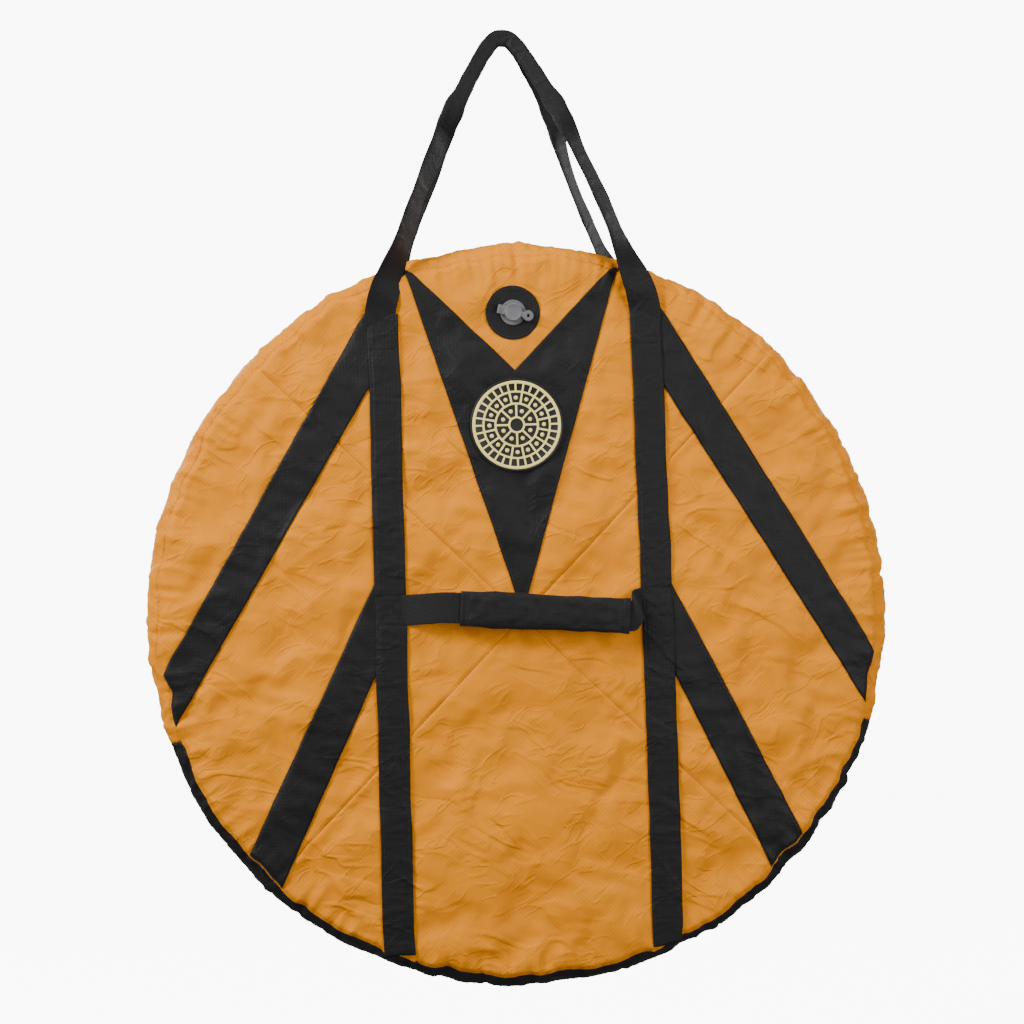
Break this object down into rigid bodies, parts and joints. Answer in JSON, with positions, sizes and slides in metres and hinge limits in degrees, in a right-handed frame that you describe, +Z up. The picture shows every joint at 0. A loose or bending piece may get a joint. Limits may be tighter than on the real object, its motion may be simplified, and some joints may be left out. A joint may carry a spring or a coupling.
{
  "type": "gong bag",
  "caption": "Round padded carrying bag for a gong, with an inflatable front panel, rim zip, two carrying handles, a centre grip and diagonal reinforcing bands.",
  "frame": {"origin": "the point where the two carrying handles hang on a hook, on the underside of their tops", "axes": "+Z up, the bag hangs below; the round front faces -Y and +X is to the right seen from the front"},
  "size_m": [1.0028, 0.1771, 1.294],
  "materials": {
    "orange_ripstop": "satin",
    "black_ripstop": "satin",
    "lining_cloth": "matte",
    "air_cell_film": "satin",
    "foam": "matte",
    "black_rubber": "matte",
    "cream_rubber": "matte",
    "grey_tpu": "satin",
    "webbing": "matte",
    "zip_tape": "matte",
    "zip_teeth": "satin",
    "slider_metal": "satin"
  },
  "bodies": {
    "back_shell": {"back_panel": "orange_ripstop", "back_air_cell": "air_cell_film", "back_lining": "lining_cloth", "base_gusset": "black_ripstop", "base_foam": "foam", "back_gusset": "orange_ripstop", "lower_front_panel": "orange_ripstop", "lower_front_air_cell": "air_cell_film", "lower_front_lining": "lining_cloth", "back_seam_binding": "black_ripstop", "lower_seam_binding": "black_ripstop", "left_strap_lower": "black_ripstop", "right_strap_lower": "black_ripstop", "left_lower_band_tail": "black_ripstop", "right_lower_band_tail": "black_ripstop", "back_left_strap": "black_ripstop", "back_right_strap": "black_ripstop", "zip_tape_back": "zip_tape", "zip_teeth_back": "zip_teeth"},
    "front_flap": {"upper_front_panel": "orange_ripstop", "upper_front_air_cell": "air_cell_film", "upper_front_lining": "lining_cloth", "front_gusset": "orange_ripstop", "rim_foam": "foam", "upper_seam_binding": "black_ripstop", "v_applique": "black_ripstop", "emblem_base": "black_rubber", "emblem_relief": "cream_rubber", "valve_patch": "black_ripstop", "valve_base": "grey_tpu", "valve_membrane": "black_rubber", "left_upper_band": "black_ripstop", "right_upper_band": "black_ripstop", "left_lower_band": "black_ripstop", "right_lower_band": "black_ripstop", "left_strap_upper": "black_ripstop", "right_strap_upper": "black_ripstop", "zip_tape_front": "zip_tape", "zip_teeth_front": "zip_teeth"},
    "valve_cap": {"valve_cap": "grey_tpu", "valve_seal": "black_rubber"},
    "grip": {"grip_webbing": "webbing", "grip_pad": "foam", "grip_sleeve": "black_ripstop"},
    "front_handle": {"front_handle_webbing": "webbing"},
    "back_handle": {"back_handle_webbing": "webbing"},
    "right_slider": {"right_slider": "slider_metal"},
    "left_slider": {"left_slider": "slider_metal"},
    "right_pull": {"right_pull": "slider_metal"},
    "left_pull": {"left_pull": "slider_metal"}
  },
  "joints": [
    {"name": "flap_fold", "type": "hinge", "parent": "back_shell", "child": "front_flap", "pos_m": [0, -0.074, -0.934], "axis": [1, 0, 0], "range_deg": [0, 100]},
    {"name": "front_handle_swing", "type": "hinge", "parent": "front_flap", "child": "front_handle", "pos_m": [0, -0.066, -0.365], "axis": [1, 0, 0], "range_deg": [0, 170]},
    {"name": "back_handle_swing", "type": "hinge", "parent": "back_shell", "child": "back_handle", "pos_m": [0, 0.066, -0.365], "axis": [-1, 0, 0], "range_deg": [0, 170]},
    {"name": "grip_swing", "type": "hinge", "parent": "front_flap", "child": "grip", "pos_m": [0, -0.096, -0.763], "axis": [-1, 0, 0], "range_deg": [-20, 35]},
    {"name": "valve_cap_hinge", "type": "hinge", "parent": "front_flap", "child": "valve_cap", "pos_m": [-0.01936, -0.0687, -0.36399], "axis": [-0.2504, 0, -0.9681], "range_deg": [0, 120]},
    {"name": "right_slider_run", "type": "hinge", "parent": "back_shell", "child": "right_slider", "pos_m": [0, 0.03, -0.776], "axis": [0, 1, 0], "range_deg": [0, 104]},
    {"name": "left_slider_run", "type": "hinge", "parent": "back_shell", "child": "left_slider", "pos_m": [0, 0.03, -0.776], "axis": [0, -1, 0], "range_deg": [0, 104]},
    {"name": "right_pull_flip", "type": "hinge", "parent": "right_slider", "child": "right_pull", "pos_m": [0.0085, 0.03, -0.27], "axis": [0, -1, 0], "range_deg": [0, 150]},
    {"name": "left_pull_flip", "type": "hinge", "parent": "left_slider", "child": "left_pull", "pos_m": [-0.0085, 0.03, -0.27], "axis": [0, 1, 0], "range_deg": [0, 150]}
  ]
}
